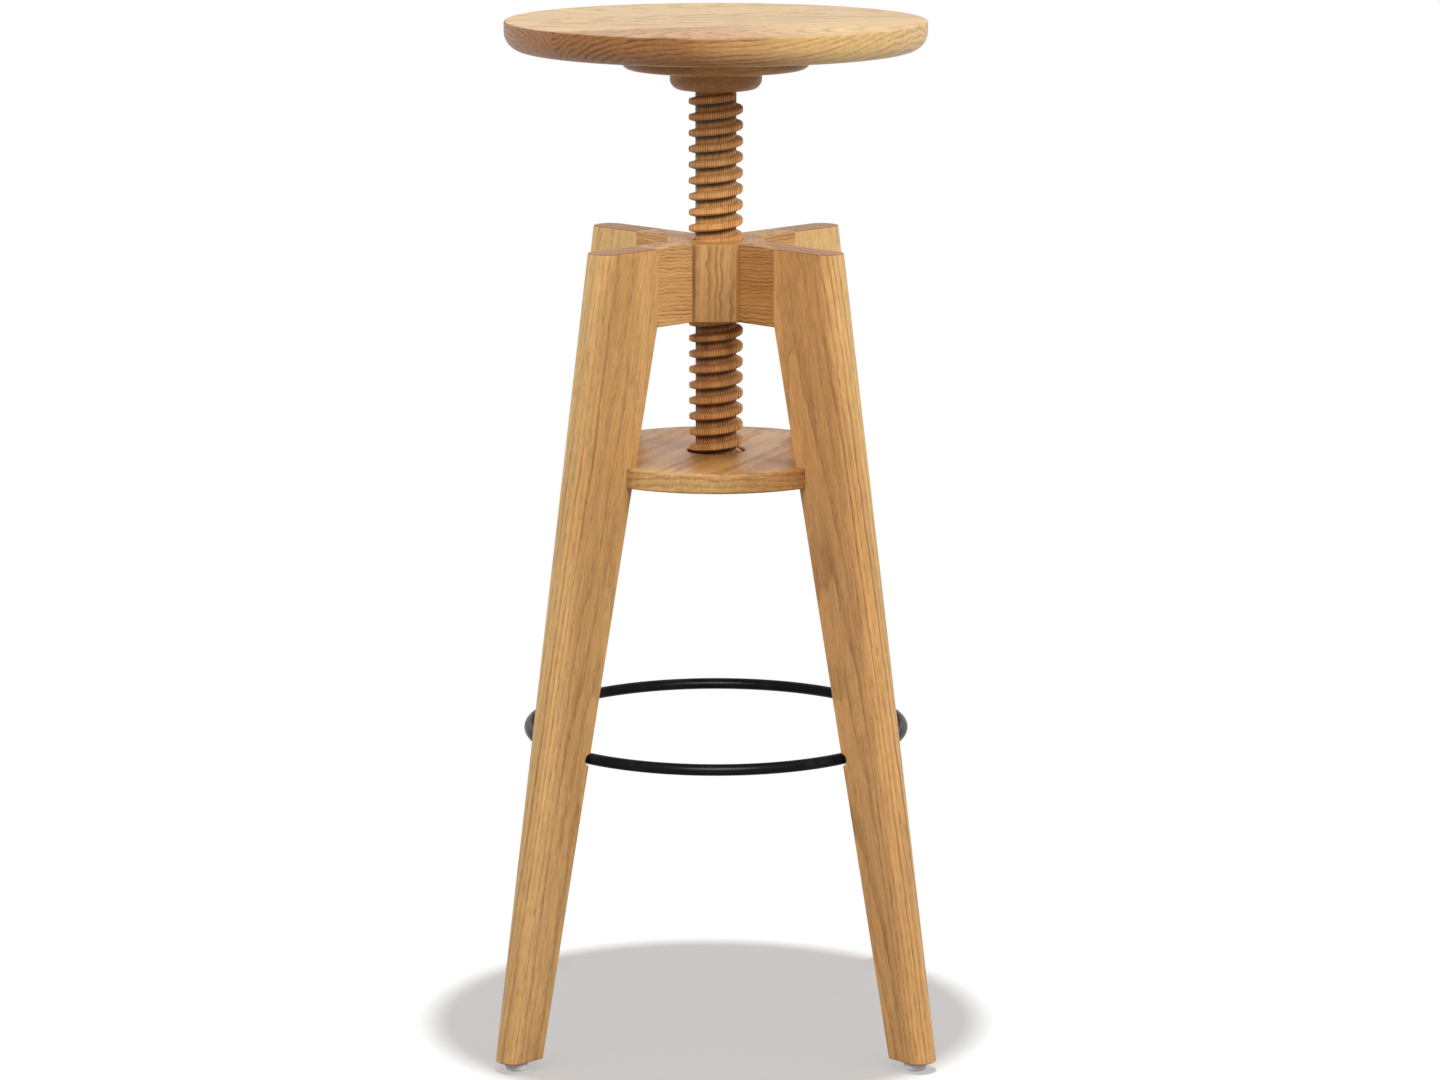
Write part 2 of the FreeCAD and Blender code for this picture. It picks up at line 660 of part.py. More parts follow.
# Seat screws, up through the disc into the staves
def plate_screws():
    members = []
    for quarter in range(4):
        screw = countersunk("plate_screw")
        azimuth = size("sheet.seat_grain_angle") + 90 * quarter
        screw.Placement = moved(size(SCREW_OUT), 0, size(PLATE_BOTTOM), azimuth)
        members.append(screw)
    group("plate_screws", members)


# Screw down through the disc into the end of the post
def post_screw():
    screw = countersunk("post_screw")
    upside_down = FreeCAD.Rotation(FreeCAD.Vector(1, 0, 0), 180)
    screw.Placement = FreeCAD.Placement(FreeCAD.Vector(0, 0, size(SEAT_BOTTOM)), upside_down)
    nodes.append(screw)


# Nails that hold the glides
def glide_nails():
    members = []
    for azimuth in CORNERS.values():
        head = solid("Cylinder", "nail_head", Radius="sheet.nail_head / 2")
        head.setExpression("Height", "sheet.nail_head_height")
        shank = solid("Cylinder", "nail_shank", Radius="sheet.nail_diameter / 2")
        shank.setExpression("Height", "sheet.nail_length")
        nail = fused("glide_nail", head, shank)
        level = size("sheet.nail_recess - sheet.nail_head_height")
        nail.Placement = moved(size("sheet.glide_radius"), 0, level, azimuth)
        members.append(nail)
    group("glide_nails", members)


plate_screws()
post_screw()
glide_nails()

# Check every object, then write each node's solids
doc.recompute()
for item in doc.Objects:
    if "Invalid" in item.State or "Error" in item.State:
        raise RuntimeError(f"{item.Label} failed: {item.State}")
os.makedirs("parts", exist_ok=True)
for node in nodes:
    if node.Shape.isNull() or not node.Shape.isValid():
        raise RuntimeError(f"{node.Label} has no valid shape")
for node in nodes:
    node.Shape.exportStep(f"parts/{node.Label}.step")
    print(f"{node.Label}: {len(node.Shape.Solids)} solid(s), {node.Shape.Volume / 1000:.1f} cm3")
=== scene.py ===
# %% [markdown]
# This lesson dresses a screw-height counter stool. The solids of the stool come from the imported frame,
# and they already have the right shapes, so the work here is the finish of each piece: oak that was cut
# from real trees, black rod, plastic feet, and the light that shows them. Everything stays in metres, in
# the frame of the solids, with the floor at Z = 0 and the front of the stool towards -Y.

# %% Load the frame
import math
from dataclasses import dataclass

import bmesh
import bpy
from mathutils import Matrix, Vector


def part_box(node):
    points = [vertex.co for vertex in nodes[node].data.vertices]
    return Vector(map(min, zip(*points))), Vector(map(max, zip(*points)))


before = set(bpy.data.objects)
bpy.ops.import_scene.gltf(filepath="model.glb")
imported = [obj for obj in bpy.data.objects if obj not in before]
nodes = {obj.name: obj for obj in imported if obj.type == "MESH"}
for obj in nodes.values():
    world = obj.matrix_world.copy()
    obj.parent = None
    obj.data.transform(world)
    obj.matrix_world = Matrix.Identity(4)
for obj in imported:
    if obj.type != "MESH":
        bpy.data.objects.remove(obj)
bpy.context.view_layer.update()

# %% [markdown]
# The camera stands in front of the stool, a little above the seat, and looks down by about eleven
# degrees. A long lens, far away, shows the near and the far legs at about the same size. Its distance,
# height and lens were worked out from the ellipses of the seat and the foot ring, which fix how steeply
# the camera looks at each of them.

# %% Camera
FRAME_WIDTH_PX = 1440
SENSOR_MM = 36
FOCAL_PX = 4645.8
LOOK_DOWN_DEG = 11.165
CAMERA_PLACE = (0.0031, -3.491, 1.0636)

lens = bpy.data.cameras.new("camera")
lens.sensor_width = SENSOR_MM
lens.lens = FOCAL_PX * SENSOR_MM / FRAME_WIDTH_PX
camera = bpy.data.objects.new("camera", lens)
camera.location = CAMERA_PLACE
camera.rotation_euler = (math.radians(90 - LOOK_DOWN_DEG), 0, 0)
bpy.context.scene.collection.objects.link(camera)
bpy.context.scene.camera = camera
print("lens:", round(lens.lens, 2), "mm")

# %% [markdown]
# A finish is a tree of shader nodes. Wiring them one by one hides what they work out, so a small class
# wraps a number on a socket and lets Python's own signs add the Math nodes. The reflected forms are there
# so that 1 - mask works as well as mask - 1.


# %% Shader arithmetic
class Signal:
    """A value on a shader socket; arithmetic on it adds Math nodes."""

    def __init__(self, finish, socket):
        self.finish = finish
        self.socket = socket

    def math(self, operation, *values):
        sockets = dict(zip(("Value", "Value_001"), values))
        return self.finish.node("ShaderNodeMath", {"operation": operation}, sockets)

    def __add__(self, other):
        return self.math("ADD", self, other)

    def __sub__(self, other):
        return self.math("SUBTRACT", self, other)

    def __rsub__(self, other):
        return self.math("SUBTRACT", other, self)

    def __mul__(self, other):
        return self.math("MULTIPLY", self, other)

    def __truediv__(self, other):
        return self.math("DIVIDE", self, other)

    def __rtruediv__(self, other):
        return self.math("DIVIDE", other, self)

    __radd__ = __add__
    __rmul__ = __mul__

    def larger(self, other):
        return self.math("MAXIMUM", self, other)

    def root(self):
        return self.math("SQRT", self)

    def whole(self):
        return self.math("FLOOR", self)

    def fraction(self):
        return self.math("FRACT", self)

    def step(self, low, high, first=0.0, last=1.0):
        """A smooth step from first to last as the number goes from low to high."""
        settings = {"interpolation_type": "SMOOTHSTEP"}
        limits = {"From Min": low, "From Max": high, "To Min": first, "To Max": last}
        return self.finish.node("ShaderNodeMapRange", settings, {"Value": self, **limits})


print("shader arithmetic ready")

# %% [markdown]
# A second class holds one shader tree, of a material or of the world. Its method node makes any node from
# its type, its settings and what goes into its sockets, and the short methods after it are the nodes that
# come back again and again. Colours and vectors go through Mix and Vector Math, because a Math node would
# turn a colour grey.


# %% Shader tree
class Finish:
    """The shader tree of a material or a world."""

    def __init__(self, owner):
        owner.use_nodes = True
        self.owner = owner
        self.tree = owner.node_tree
        self.tree.nodes.clear()

    def node(self, kind, settings, sockets, out=None):
        """A node of one type; its settings are set first, then its sockets are filled or linked."""
        made = self.tree.nodes.new(kind)
        for key, value in settings.items():
            setattr(made, key, value)
        for key, value in sockets.items():
            socket = next(s for s in made.inputs if key in (s.identifier, s.name))
            if isinstance(value, Signal):
                self.tree.links.new(value.socket, socket)
            else:
                socket.default_value = value
        chosen = (s for s in made.outputs if out in (None, s.identifier))
        return Signal(self, next(chosen, None))

    def place(self):
        """The place on the object in metres."""
        return self.node("ShaderNodeTexCoord", {}, {}, "Object")

    def axis(self, place, letter):
        """One of the three numbers of a place."""
        return self.node("ShaderNodeSeparateXYZ", {}, {"Vector": place}, letter)

    def mix(self, first, second, share):
        """A colour between two colours."""
        sockets = {"Factor_Float": share, "A_Color": first, "B_Color": second}
        return self.node("ShaderNodeMix", {"data_type": "RGBA"}, sockets, "Result_Color")

    def scaled(self, colour, amount):
        """A colour or a vector made larger or smaller."""
        sockets = {"Vector": colour, "Scale": amount}
        return self.node("ShaderNodeVectorMath", {"operation": "SCALE"}, sockets, "Vector")

    def noise(self, place, lengths, detail):
        """Noise, from 0 to 1, whose grains have these lengths along the three axes of the place."""
        per_length = tuple(1 / length for length in lengths)
        stretch = {"Vector": place, "Vector_001": per_length}
        stretched = self.node("ShaderNodeVectorMath", {"operation": "MULTIPLY"}, stretch, "Vector")
        return self.node("ShaderNodeTexNoise", {}, {"Vector": stretched, "Scale": 1.0, "Detail": detail})

    def bump(self, height, distance, strength):
        sockets = {"Height": height, "Distance": distance, "Strength": strength}
        return self.node("ShaderNodeBump", {}, sockets)

    def surface(self, sockets):
        """Close a material with one shader, whose sockets hold constants or links."""
        shader = self.node("ShaderNodeBsdfPrincipled", {}, sockets)
        self.node("ShaderNodeOutputMaterial", {}, {"Surface": shader})
        return self.owner


def colour(red, green, blue):
    return (red, green, blue, 1.0)


def new_finish(name):
    return Finish(bpy.data.materials.new(name))


def dress(node_name, material):
    """Give one solid its finish."""
    slots = nodes[node_name].data.materials
    slots.clear()
    slots.append(material)


print("shader tree ready")

# %% [markdown]
# Oak is a ring-porous wood. Each year starts with a band of wide pores, which reads as a darker, rougher
# line, and goes on with dense pale wood. A flat picture of grain can't follow a board round its corners,
# so the pattern here is solid: the rings are tubes round the heart of the tree, and each board is a place
# in that tree. Every piece has its own facts, so a data class holds them with a plain default for each,
# and a piece only says where it differs.

# %% Facts of a board
OAK_PALE = colour(0.65, 0.372, 0.142)
OAK_WARM = colour(0.55, 0.297, 0.104)
OAK_SAP = colour(0.74, 0.475, 0.195)
OAK_LINE = colour(0.27, 0.115, 0.036)
OAK_PORE = colour(0.15, 0.062, 0.020)
OAK_END = colour(0.31, 0.120, 0.030)
NEVER = (5000, 6000)


@dataclass
class Board:
    """How a piece of oak lay in its tree, and how its grain shows. Lengths are in mm."""

    heart: tuple  # a point on the heart line of the tree
    along: tuple  # the direction of the heart line
    year: float = 4.0  # the width of a year
    wander: float = 3.0  # how far slow waves push the rings
    swell: float = 1.6  # how much years differ in width, as a share of a year
    ripple: float = 0.4  # how far quick waves push the rings
    ripple_length: float = 26  # the length of a quick wave along the board
    lines: float = 0.6  # the strength of the year lines
    run: float = 80  # how far a line goes before it fades
    uneven: float = 0.6  # how much the lines differ in strength
    pores: float = 0.4  # the strength of the pores
    stroke: tuple = (9, 0.6)  # the length and the width of a pore
    ends: tuple = (0.8, 0.8)  # how dark the near end and the far end are
    end_lines: float = 1.0  # how strong the lines are on the ends, against the sides
    sap_outside: tuple = NEVER  # distances from the heart where sapwood starts and is full
    sap_along: tuple = NEVER  # places along the board where sapwood starts and is full
    pale: tuple = OAK_PALE
    warm: tuple = OAK_WARM
    line: tuple = OAK_LINE
    gloss: float = 0.42  # the roughness of the lacquer
    shine: float = 0.35  # the strength of its mirror image


print("a plain board has", Board.year, "mm years")

# %% [markdown]
# A Mapping node turns and moves a place on the stool into the tree, in millimetres, with x along the
# heart. A board far from the heart then shows straight lines on one face and arches on the other, and its
# ends show arcs, all from the same numbers. How squarely a face cuts the fibres tells the ends from the
# sides.

# %% Place in the tree
MM = 0.001


def in_tree(finish, board):
    """The place on a board in mm: x along the tree's heart, y and z across it."""
    turn = Vector(board.along).to_track_quat("X", "Z").to_euler()
    heart = Vector(board.heart) * MM
    sockets = {"Vector": finish.place(), "Location": heart, "Rotation": turn, "Scale": (MM, MM, MM)}
    return finish.node("ShaderNodeMapping", {"vector_type": "TEXTURE"}, sockets)


def heart_distance(finish, place):
    across = finish.axis(place, "Y")
    depth = finish.axis(place, "Z")
    return (across * across + depth * depth).root()


def end_facing(finish, board):
    """How squarely a face cuts the fibres: -1 at the near end of a board, 0 along it, 1 at its far end."""
    normal = finish.node("ShaderNodeTexCoord", {}, {}, "Normal")
    sockets = {"Vector": normal, "Vector_001": Vector(board.along).normalized()}
    return finish.node("ShaderNodeVectorMath", {"operation": "DOT_PRODUCT"}, sockets, "Value")


print("boards are placed in mm")

# %% [markdown]
# No tree grows true, so slow and quick waves push the rings about, and years differ in width. The share
# of a year that has gone by is the fraction of the pushed distance, counted in years. The whole part
# gives each year its own chance number, which makes some lines strong and others faint, and each line
# fades and comes back along the board.

# %% Year rings
NOISE_MIDDLE = 0.5
NOISE_STRETCH = 4
NOISE_PLAIN = 0.0
NOISE_SOFT = 1.0
NOISE_FINE = 3.0
SLOW_WAVES = (420, 55, 55)
WIDTH_WAVES = (600, 11, 11)
QUICK_ACROSS = 14
FADE_ACROSS = 7
FADE_SHOWS = (0.30, 0.70)
FAINTEST = 0.35
EARLY_WOOD_ENDS = 0.55
LATE_WOOD_ENDS = 0.90


def year_rings(finish, place, distance, board):
    """The share of the year that has gone by at a place, and the chance number of that year."""
    quick_waves = (board.ripple_length, QUICK_ACROSS, QUICK_ACROSS)
    slow = finish.noise(place, SLOW_WAVES, NOISE_SOFT) - NOISE_MIDDLE
    widths = finish.noise(place, WIDTH_WAVES, NOISE_PLAIN) - NOISE_MIDDLE
    quick = finish.noise(place, quick_waves, NOISE_SOFT) - NOISE_MIDDLE
    wandering = slow * (NOISE_STRETCH * board.wander)
    rippling = quick * (NOISE_STRETCH * board.ripple)
    age = (distance + (wandering + widths * (board.swell * board.year) + rippling)) / board.year
    settings = {"noise_dimensions": "1D"}
    chance = finish.node("ShaderNodeTexWhiteNoise", settings, {"W": age.whole()}, "Value")
    return age.fraction(), chance


def early_wood(ring):
    """1 where a year starts, with its wide pores, and 0 in its dense wood."""
    return ring.step(0.0, EARLY_WOOD_ENDS, 1.0, 0.0).larger(ring.step(LATE_WOOD_ENDS, 1.0))


def year_lines(finish, place, early, chance, board):
    """The dark lines of the early wood, each with its own strength."""
    runs = finish.noise(place, (board.run, FADE_ACROSS, FADE_ACROSS), NOISE_SOFT)
    fade = runs.step(*FADE_SHOWS, FAINTEST, 1.0)
    return early * fade * (1 - board.uneven + board.uneven * chance * chance)


print("rings ready")

# %% [markdown]
# Pores are short dark strokes along the fibres, most of them in the lines. The outer, younger wood of a
# tree is pale sapwood, and a board may run into it at its side or at one end. Cut ends drink more lacquer,
# so they are darker and redder, each end as much as its board says.

# %% Pores, sapwood and ends
PORES_SHOW = (0.50, 0.68)
LATE_PORES = 0.40
END_SHOWS = (0.25, 0.55)


def pore_strokes(finish, place, early, board):
    length, width = board.stroke
    strokes = finish.noise(place, (length, width, width), NOISE_SOFT).step(*PORES_SHOW)
    return strokes * (LATE_PORES + (1 - LATE_PORES) * early)


def sapwood(finish, place, distance, board):
    lengthwise = finish.axis(place, "X")
    return distance.step(*board.sap_outside).larger(lengthwise.step(*board.sap_along))


def end_shade(facing, board):
    near, far = board.ends
    return (0 - facing).step(*END_SHOWS) * near + facing.step(*END_SHOWS) * far


print("pores, sapwood and ends ready")

# %% [markdown]
# The finish adds up what the eye sees on lacquered oak. The ground drifts between a paler and a warmer
# tone and turns pale where the sapwood is, then come the ends, the lines and the pores. Fine fibres and
# short flakes make it lighter and darker. Pores are small hollows, so they break the shine and dent the
# bump. A piece may add painted shade of its own, which darkens its colour where shade would fall.

# %% Oak
DRIFT = (240, 34, 34)
DRIFT_SHOWS = (0.32, 0.68)
FIBRES = (70, 2.0, 2.0)
FLAKES = (14, 2.5, 2.5)
PLAIN_LEVEL = 0.54
FIBRE_LEVEL = 0.60
FLAKE_LEVEL = 0.32
LINES_LOST_IN_SAP = 0.6
PORE_DEPTH = 0.7
LINE_DEPTH = 0.25
FIBRE_HEIGHT = 0.2
LINE_ROUGHNESS = 0.08
PORE_ROUGHNESS = 0.15
GRAIN_DEPTH = 0.3 * MM
GRAIN_STRENGTH = 0.4


def oak(name, board, painted_shade=None):
    """The finish of one piece of oak."""
    finish = new_finish(name)
    place = in_tree(finish, board)
    distance = heart_distance(finish, place)
    facing = end_facing(finish, board)
    ring, chance = year_rings(finish, place, distance, board)
    early = early_wood(ring)
    band = year_lines(finish, place, early, chance, board)
    pore = pore_strokes(finish, place, early, board)
    sap = sapwood(finish, place, distance, board)
    fibre = finish.noise(place, FIBRES, NOISE_FINE)
    flake = finish.noise(place, FLAKES, NOISE_SOFT)
    drift = finish.noise(place, DRIFT, NOISE_SOFT).step(*DRIFT_SHOWS)

    ground = finish.mix(finish.mix(board.pale, board.warm, drift), OAK_SAP, sap)
    shaded = finish.mix(ground, OAK_END, end_shade(facing, board))
    end_gain = 1 + (board.end_lines - 1) * facing * facing
    line_share = band * board.lines * end_gain * (1 - LINES_LOST_IN_SAP * sap)
    lined = finish.mix(shaded, board.line, line_share)
    pored = finish.mix(lined, OAK_PORE, pore * board.pores)
    level = PLAIN_LEVEL + FIBRE_LEVEL * fibre + FLAKE_LEVEL * flake
    # painted shade: a piece may darken its colour where shade would fall, as in the roots of the screw's
    # thread
    if painted_shade:
        level = level * painted_shade(finish)
    height = 1 - PORE_DEPTH * pore - LINE_DEPTH * band + FIBRE_HEIGHT * fibre
    return finish.surface(
        {
            "Base Color": finish.scaled(pored, level),
            "Roughness": board.gloss + LINE_ROUGHNESS * band + PORE_ROUGHNESS * pore,
            "Specular IOR Level": board.shine,
            "Normal": finish.bump(height, GRAIN_DEPTH, GRAIN_STRENGTH),
        }
    )


print("oak ready")

# %% [markdown]
# The seat is glued up from three boards that run the same way but come from different parts of the tree.
# Their hearts lie below the seat and rise along the board, each by its own slope, so the rings come out as
# arches on the top and as lines that climb round the rim. The front board is the browner one: its left
# end is dark, and it turns to pale sapwood towards the right.

# %% Seat
GRAIN_DEG = 22
SEAT_MIDDLE = sum(corner.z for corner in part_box("seat_stave_middle")) / 2 / MM
SEAT_GRAIN = {
    "wander": 3.5,
    "swell": 1.1,
    "uneven": 0.4,
    "end_lines": 2.5,
    "line": colour(0.13, 0.050, 0.015),
    "gloss": 0.40,
    "shine": 0.5,
}
SEAT_TONES = {"pale": colour(0.69, 0.46, 0.215), "warm": colour(0.60, 0.38, 0.168), "ends": (0.92, 0.6)}
FRONT_TONES = {
    "pale": colour(0.57, 0.305, 0.110),
    "warm": colour(0.48, 0.235, 0.080),
    "ends": (0.92, 0.0),
    "sap_along": (-40, 70),
}


def flat_direction(azimuth_deg, rise=0.0):
    turn = math.radians(azimuth_deg)
    return (math.cos(turn), math.sin(turn), rise)


def seat_board(across, below, rise, **facts):
    """A board of the seat, whose heart lies across from the middle, below the seat, and rises."""
    turn = math.radians(GRAIN_DEG + 90)
    heart = (math.cos(turn) * across, math.sin(turn) * across, SEAT_MIDDLE - below)
    return Board(heart, flat_direction(GRAIN_DEG, rise), **SEAT_GRAIN, **facts)


front = seat_board(across=-120, below=80, rise=0.18, year=4.2, lines=0.90, **FRONT_TONES)
middle = seat_board(across=22, below=105, rise=0.08, year=3.6, lines=0.42, **SEAT_TONES)
back = seat_board(across=120, below=80, rise=0.10, year=3.8, lines=0.42, **SEAT_TONES)
SEAT_BOARDS = {"seat_stave_front": front, "seat_stave_middle": middle, "seat_stave_back": back}
for name, board in SEAT_BOARDS.items():
    dress(name, oak(name, board))
print("seat dressed:", len(SEAT_BOARDS), "boards, middle at", round(SEAT_MIDDLE, 2), "mm")

# %% [markdown]
# The wide disc under the seat and the collar below it are turned from smaller, darker pieces. Each has a
# heart and a direction of its own, so their lines don't run on from one to the other.

# %% Disc and collar
DARK_TONES = {"pale": colour(0.55, 0.275, 0.088), "warm": colour(0.45, 0.205, 0.064)}

disc = Board((0, 30, 660), flat_direction(15, 0.05), **DARK_TONES)
collar = Board((10, 0, 690), flat_direction(110, 0.2), ends=(0.4, 0.4), **DARK_TONES)
dress("seat_plate", oak("seat_plate", disc))
dress("seat_collar", oak("seat_collar", collar))
print("disc and collar dressed")

# %% [markdown]
# The screw is turned from redder oak. Its fibres run along its axis, because a post with fibres across it
# would snap, and so its crests show short upright strokes. Shade is painted into the roots of the thread,
# with a dark painted shadow in the corner under each ridge. So the finish is darkened by the distance from
# the axis and by the height above the last ridge, which is found by winding the height back round the axis
# at the pitch of the thread.

# %% Screw
CORE_RADIUS = 15.5 * MM
SHADE_FREE_RADIUS = 18.5 * MM
THREAD_PITCH = 12
LOWEST_RIDGE_TOP = 444.5
# painted shade in the thread's roots: where it darkens under a ridge and clears on the flank above, in mm,
# and its levels
ROOT_DARKENS = (0.8, 4.2)
ROOT_CLEARS = (8.5, 10.5)
ROOT_LIGHTEST = 0.76
ROOT_DARKEST = 0.15


def thread_painted_shade(finish):
    """Painted shade: dark in the roots of the thread, with a painted shadow under each ridge, and plain on
    its crests.
    """
    place = finish.place()
    x, y, z = (finish.axis(place, letter) for letter in "XYZ")
    turned = y.math("ARCTAN2", y, x) / (2 * math.pi)
    above_ridge = ((z / MM - LOWEST_RIDGE_TOP) / THREAD_PITCH - turned).fraction() * THREAD_PITCH
    under_next = above_ridge.step(*ROOT_DARKENS, ROOT_LIGHTEST, ROOT_DARKEST)
    on_top_flank = above_ridge.step(*ROOT_CLEARS, 0.0, ROOT_LIGHTEST)
    root = under_next.larger(on_top_flank)
    crest = (x * x + y * y).root().step(CORE_RADIUS, SHADE_FREE_RADIUS)
    return root + (1 - root) * crest


screw = Board(
    heart=(-70, -4, 0),
    along=(0.01, 0, 1),
    year=1.6,
    wander=1.5,
    lines=1.0,
    uneven=0.0,
    pores=0.8,
    stroke=(14, 0.5),
    ends=(0.3, 0.3),
    pale=colour(0.92, 0.48, 0.175),
    warm=colour(0.80, 0.36, 0.120),
    line=colour(0.14, 0.046, 0.015),
    gloss=0.5,
    shine=0.2,
)
# the screw's colour carries painted shade in the roots of its thread and a painted shadow under each ridge
dress("screw_post", oak("screw_post", screw, thread_painted_shade))
print("screw dressed, pitch", THREAD_PITCH, "mm")

# %% [markdown]
# The hub stands upright in the tree, far to one side of the heart, so its front shows a few broad dark
# lines. Its top is end grain, but on the real one it is hardly darker than the sides, so its ends are
# kept pale here too.

# %% Hub
hub = Board(
    heart=(-66, -20, 0),
    along=(0.03, 0.02, 1),
    year=5.4,
    wander=2.5,
    ripple=1.0,
    ripple_length=12,
    lines=0.75,
    uneven=0.2,
    pores=0.2,
    ends=(0.2, 0.2),
    end_lines=0.1,
    pale=colour(0.58, 0.330, 0.125),
    warm=colour(0.50, 0.265, 0.092),
    line=colour(0.16, 0.068, 0.032),
)
dress("hub", oak("hub", hub))
print("hub dressed")

# %% [markdown]
# An arm lies along its own length, above the heart, with rippled rings one above the other. No two arms
# come from the same place, so each has its own height over the heart and its own shift to the side. The
# arm at the front right comes from a browner board.

# %% Arms
CORNERS = {"front_right": -45, "back_right": 45, "back_left": 135, "front_left": 225}
UPRIGHT = Vector((0, 0, 1))
ARM_MIDDLE_OUT = 55
ARM_MIDDLE_HEIGHT = 577
ARM_SLOPE = 0.06
ARM_HEARTS = {
    "front_right": {"below": 60, "aside": 10},
    "back_right": {"below": 72, "aside": -8},
    "back_left": {"below": 66, "aside": 14},
    "front_left": {"below": 80, "aside": -16},
}
ARM_GRAIN = {"year": 2.6, "wander": 2.0, "ripple": 1.0, "ripple_length": 7, "lines": 1.0, "uneven": 0.4}
BROWN_ARM = {
    "pale": colour(0.49, 0.235, 0.070),
    "warm": colour(0.41, 0.178, 0.052),
    "line": colour(0.13, 0.047, 0.014),
}


def outwards(corner):
    return Vector(flat_direction(CORNERS[corner]))


def sideways(corner):
    return Vector(flat_direction(CORNERS[corner] + 90))


for corner, place in ARM_HEARTS.items():
    level = UPRIGHT * (ARM_MIDDLE_HEIGHT - place["below"])
    heart = outwards(corner) * ARM_MIDDLE_OUT + sideways(corner) * place["aside"] + level
    along = outwards(corner) + UPRIGHT * ARM_SLOPE
    tones = BROWN_ARM if corner == "front_right" else {}
    dress(f"arm_{corner}", oak(f"arm_{corner}", Board(heart, along, **ARM_GRAIN, **tones)))
print("arms dressed:", len(ARM_HEARTS))

# %% [markdown]
# A leg follows the slope of its outer edge, with the heart beside one of its broad faces, which shows wide
# lines and an arch, while its narrow faces have close lines. The wood furthest from the heart is pale
# sapwood. The leg at the front right is the browner one, with stronger lines.

# %% Legs
LEG_HEART_OUT = 139
LEG_MIDDLE_HEIGHT = 307
LEG_LEAN = 0.1658
LEG_TWIST = 0.03
LEG_HEARTS = {
    "front_right": {"side": -1, "depth": 46},
    "back_right": {"side": 1, "depth": 52},
    "back_left": {"side": -1, "depth": 58},
    "front_left": {"side": 1, "depth": 48},
}
LEG_GRAIN = {
    "year": 3.8,
    "swell": 0.9,
    "lines": 0.85,
    "run": 200,
    "uneven": 0.85,
    "pores": 0.5,
    "stroke": (10, 0.55),
    "sap_outside": (50, 76),
}
BROWN_LEG = {
    "pale": colour(0.67, 0.355, 0.127),
    "warm": colour(0.57, 0.290, 0.103),
    "line": colour(0.20, 0.080, 0.024),
    "lines": 0.95,
}

for corner, place in LEG_HEARTS.items():
    aside = sideways(corner) * place["side"]
    heart = outwards(corner) * LEG_HEART_OUT + aside * place["depth"] + UPRIGHT * LEG_MIDDLE_HEIGHT
    along = UPRIGHT - outwards(corner) * LEG_LEAN + aside * LEG_TWIST
    grain = LEG_GRAIN | BROWN_LEG if corner == "front_right" else LEG_GRAIN
    dress(f"leg_{corner}", oak(f"leg_{corner}", Board(heart, along, **grain)))
print("legs dressed:", len(LEG_HEARTS))

# %% [markdown]
# The shelf is a flat board with a satin finish, from so far out in its tree that its rings are nearly
# flat. Its grain runs almost from front to back, so the front rim shows the rings end on, as lines one
# above the other, and the board turns to sapwood at the front.

# %% Shelf
shelf = Board(
    heart=(10, 0, -500),
    along=flat_direction(68),
    year=5.0,
    wander=2.5,
    swell=0.7,
    lines=0.95,
    uneven=0.3,
    ends=(0.0, 0.15),
    sap_along=(-70, -150),
    pale=colour(0.52, 0.270, 0.085),
    warm=colour(0.41, 0.195, 0.061),
    gloss=0.36,
)
dress("shelf", oak("shelf", shelf))
print("shelf dressed")

# %% [markdown]
# The dowels in the arms don't show from outside. They are beech, which has no bands of pores. It is still
# made with the oak finish, given faint lines and pores and a pinker tone.

# %% Dowels
beech = Board(
    heart=(0, 0, 480),
    along=(1, 0, 0),
    lines=0.1,
    pores=0.2,
    pale=colour(0.62, 0.42, 0.26),
    warm=colour(0.54, 0.34, 0.20),
)
dress("arm_dowels", oak("arm_dowels", beech))
print("dowels dressed")

# %% [markdown]
# The foot ring is steel rod with a satin black powder coat. Powder melts into a skin that is never quite
# flat, so a fine, shallow unevenness breaks up its highlight, and shoes rub it a little duller here and
# there. Noise on the object's own place in millimetres does both.

# %% Black rod
ROD_BLACK = colour(0.002, 0.002, 0.003)
ROD_RUBBED = colour(0.005, 0.005, 0.006)
PEEL_SIZE = (1.6, 1.6, 1.6)
PEEL_DEPTH = 0.1 * MM
PEEL_STRENGTH = 0.05
RUB_SIZE = (22, 22, 22)
RUB_SHOWS = (0.45, 0.75)
ROD_ROUGHNESS = 0.28
RUB_ROUGHNESS = 0.08
ROD_SHINE = 0.07


def place_in_mm(finish):
    return finish.scaled(finish.place(), 1 / MM)


def powder_black():
    finish = new_finish("black_steel")
    place = place_in_mm(finish)
    peel = finish.noise(place, PEEL_SIZE, NOISE_SOFT)
    rub = finish.noise(place, RUB_SIZE, NOISE_FINE).step(*RUB_SHOWS)
    return finish.surface(
        {
            "Base Color": finish.mix(ROD_BLACK, ROD_RUBBED, rub),
            "Roughness": ROD_ROUGHNESS + RUB_ROUGHNESS * rub,
            "Specular IOR Level": ROD_SHINE,
            "Normal": finish.bump(peel, PEEL_DEPTH, PEEL_STRENGTH),
        }
    )


dress("foot_ring", powder_black())
print("ring dressed")

# %% [markdown]
# The feet are pale moulded plastic. They slide on the floor, so they are scuffed, in flat streaks that are
# wider than they are high.

# %% Plastic feet
PLASTIC_GREY = colour(0.88, 0.87, 0.87)
PLASTIC_WHITE = colour(0.96, 0.95, 0.95)
SCUFF_SIZE = (5, 5, 1.2)
SCUFF_DEPTH = 0.1 * MM
SCUFF_STRENGTH = 0.2
PLASTIC_ROUGHNESS = 0.34
SCUFF_ROUGHNESS = 0.2


